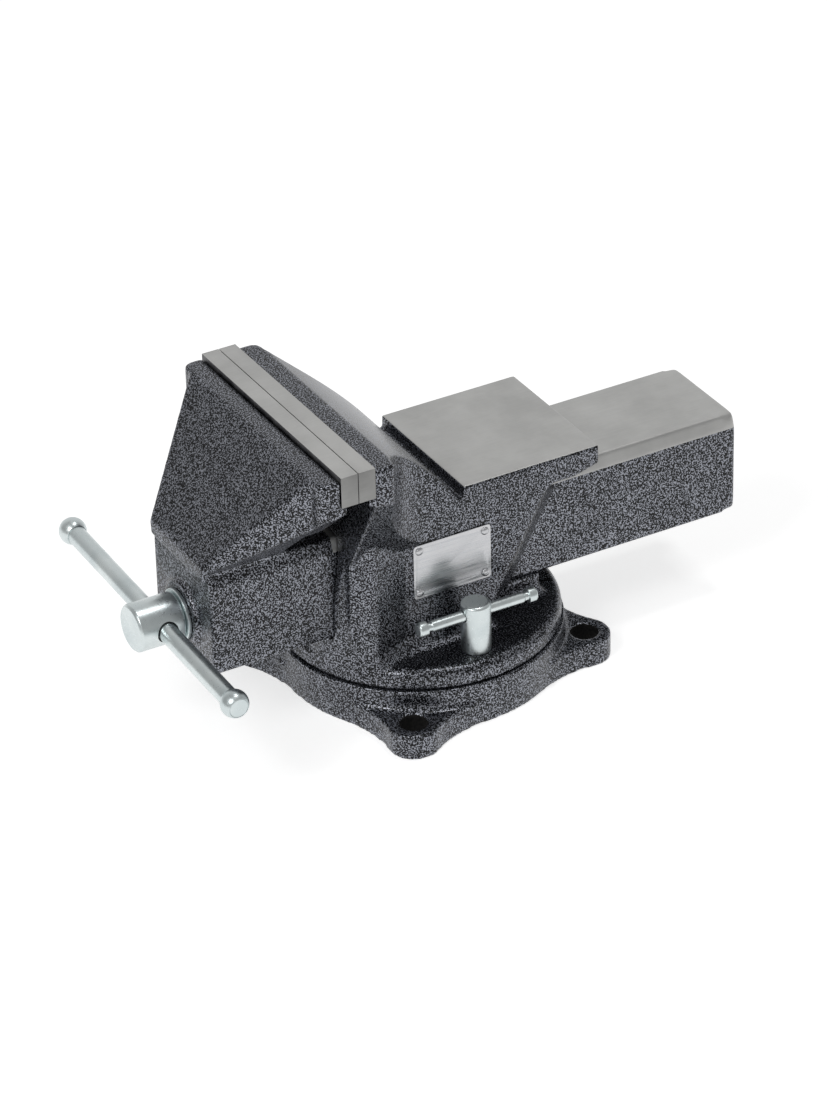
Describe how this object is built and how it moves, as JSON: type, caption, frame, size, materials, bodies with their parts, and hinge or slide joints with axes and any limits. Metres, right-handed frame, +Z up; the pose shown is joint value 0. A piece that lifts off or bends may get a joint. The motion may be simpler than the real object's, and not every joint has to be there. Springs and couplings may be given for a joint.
{
  "type": "swivel bench vise",
  "caption": "Bench vise with a box slide on a lead screw, sliding tommy bar handle, steel jaw plates, small anvil and a swivel base with bar-turned locks and bench bolt lugs.",
  "frame": {"origin": "centre of the bench bolt circle on the swivel axis, at the level of the bench", "axes": "+X to the side that carries the nameplate, -Y to the handle, +Z up from the bench"},
  "size_m": [0.1932, 0.3484, 0.1724],
  "materials": {
    "hammered_paint": "hammered enamel over cast iron",
    "ground_steel": "ground, matte",
    "dark_steel": "plain oiled",
    "zinc_steel": "bright zinc plate",
    "cast_nut": "machined",
    "bright_aluminium": "brushed, bare"
  },
  "bodies": {
    "base": {"swivel_base": "hammered_paint"},
    "fixed_jaw": {"fixed_jaw_casting": "hammered_paint", "rear_jaw_plate": "ground_steel", "rear_jaw_screws": "dark_steel", "lead_nut": "cast_nut", "lead_nut_bolts": "dark_steel", "nameplate": "bright_aluminium", "nameplate_rivets": "bright_aluminium", "clamp_nut_near": "dark_steel", "clamp_nut_far": "dark_steel"},
    "movable_jaw": {"movable_jaw_casting": "hammered_paint", "front_jaw_plate": "ground_steel", "front_jaw_screws": "dark_steel"},
    "screw": {"lead_screw": "zinc_steel", "thrust_washer": "zinc_steel", "retaining_collar": "dark_steel", "collar_pin": "dark_steel"},
    "handle": {"handle_bar": "zinc_steel", "handle_knob_near": "zinc_steel", "handle_knob_far": "zinc_steel"},
    "near_lock": {"lock_screw_near": "zinc_steel"},
    "far_lock": {"lock_screw_far": "zinc_steel"},
    "near_lock_bar": {"lock_bar_near": "zinc_steel"},
    "far_lock_bar": {"lock_bar_far": "zinc_steel"}
  },
  "joints": [
    {"name": "swivel", "type": "hinge", "parent": "base", "child": "fixed_jaw", "pos_m": [0, 0, 0], "axis": [0, 0, 1], "continuous": true},
    {"name": "jaw_slide", "type": "slide", "parent": "fixed_jaw", "child": "movable_jaw", "axis": [0, -1, 0], "range_m": [0, 0.14]},
    {"name": "screw_spin", "type": "hinge", "parent": "movable_jaw", "child": "screw", "pos_m": [0, 0, 0.0715], "axis": [0, -1, 0], "range_deg": [0, 10079]},
    {"name": "handle_slide", "type": "slide", "parent": "screw", "child": "handle", "axis": [0.9994, 0, -0.0349], "range_m": [-0.0668, 0.0794]},
    {"name": "near_lock_turn", "type": "hinge", "parent": "fixed_jaw", "child": "near_lock", "pos_m": [0.061, 0, 0.0587], "axis": [0, 0, 1], "range_deg": [-5, 11]},
    {"name": "far_lock_turn", "type": "hinge", "parent": "fixed_jaw", "child": "far_lock", "pos_m": [-0.061, 0, 0.0587], "axis": [0, 0, 1], "range_deg": [-11, 5]},
    {"name": "near_bar_slide", "type": "slide", "parent": "near_lock", "child": "near_lock_bar", "axis": [0, 1, 0], "range_m": [-0.0225, 0.021]},
    {"name": "far_bar_slide", "type": "slide", "parent": "far_lock", "child": "far_lock_bar", "axis": [0, 1, 0], "range_m": [-0.0225, 0.021]}
  ],
  "couplings": [
    {"joint": "jaw_slide", "follows": "screw_spin", "m_per_rad": 0.00079577}
  ]
}
